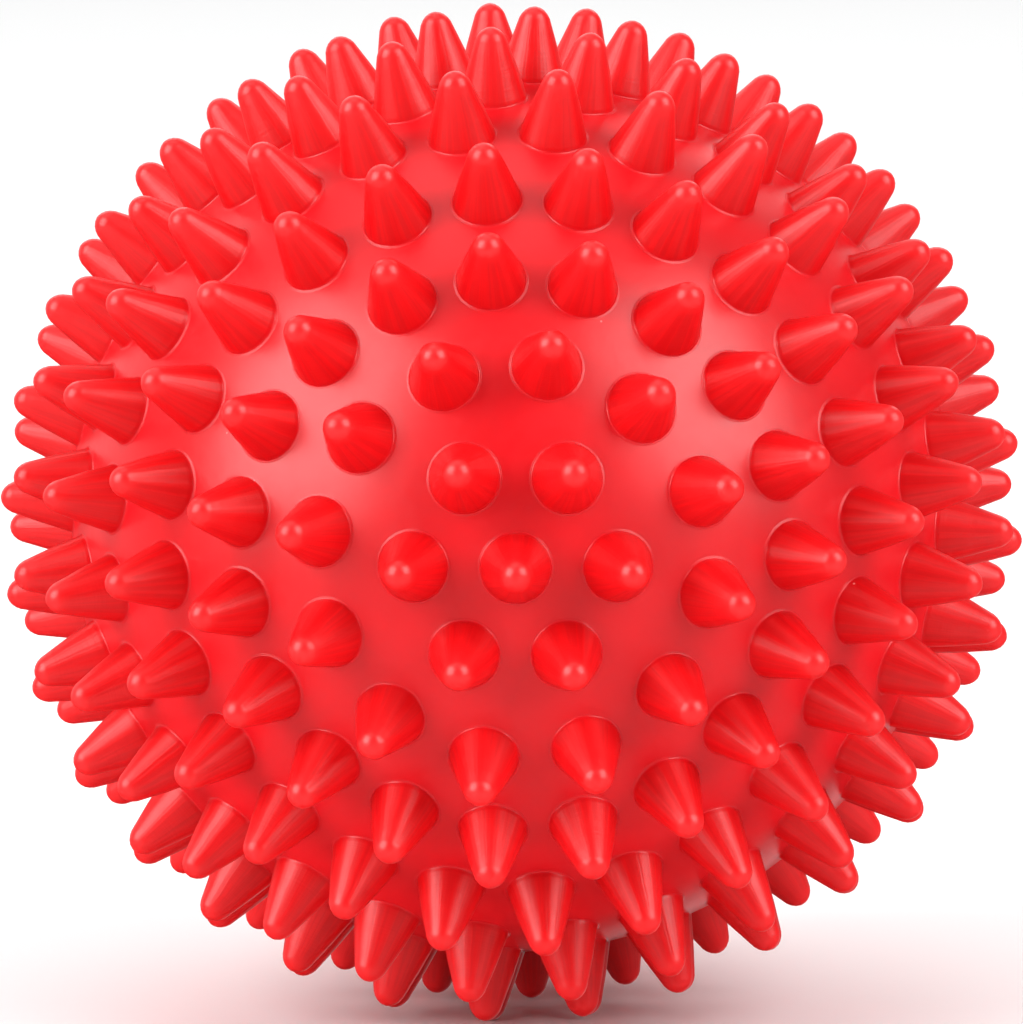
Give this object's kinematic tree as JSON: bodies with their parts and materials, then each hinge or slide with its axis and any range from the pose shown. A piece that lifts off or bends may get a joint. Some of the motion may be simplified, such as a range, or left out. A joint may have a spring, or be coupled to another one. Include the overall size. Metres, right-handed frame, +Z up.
{
  "type": "massage ball",
  "caption": "Hollow soft ball covered in rounded cone spikes, with a plugged inflation valve in its rear pole.",
  "frame": {"origin": "centre of the ball", "axes": "+Y through the poles, out of the valve at the rear; -Y through the front pole spike; +Z up"},
  "size_m": [0.0894, 0.089, 0.0894],
  "materials": {
    "soft_pvc": "satin",
    "valve_pvc": "satin",
    "plug_rubber": "matte"
  },
  "bodies": {
    "ball": {"ball_shell": "soft_pvc", "valve_seat": "valve_pvc"},
    "plug": {"valve_plug": "plug_rubber"}
  },
  "joints": [
    {"name": "valve_plug_pull", "type": "slide", "parent": "ball", "child": "plug", "axis": [0, 1, 0], "range_m": [0, 0.01]}
  ]
}
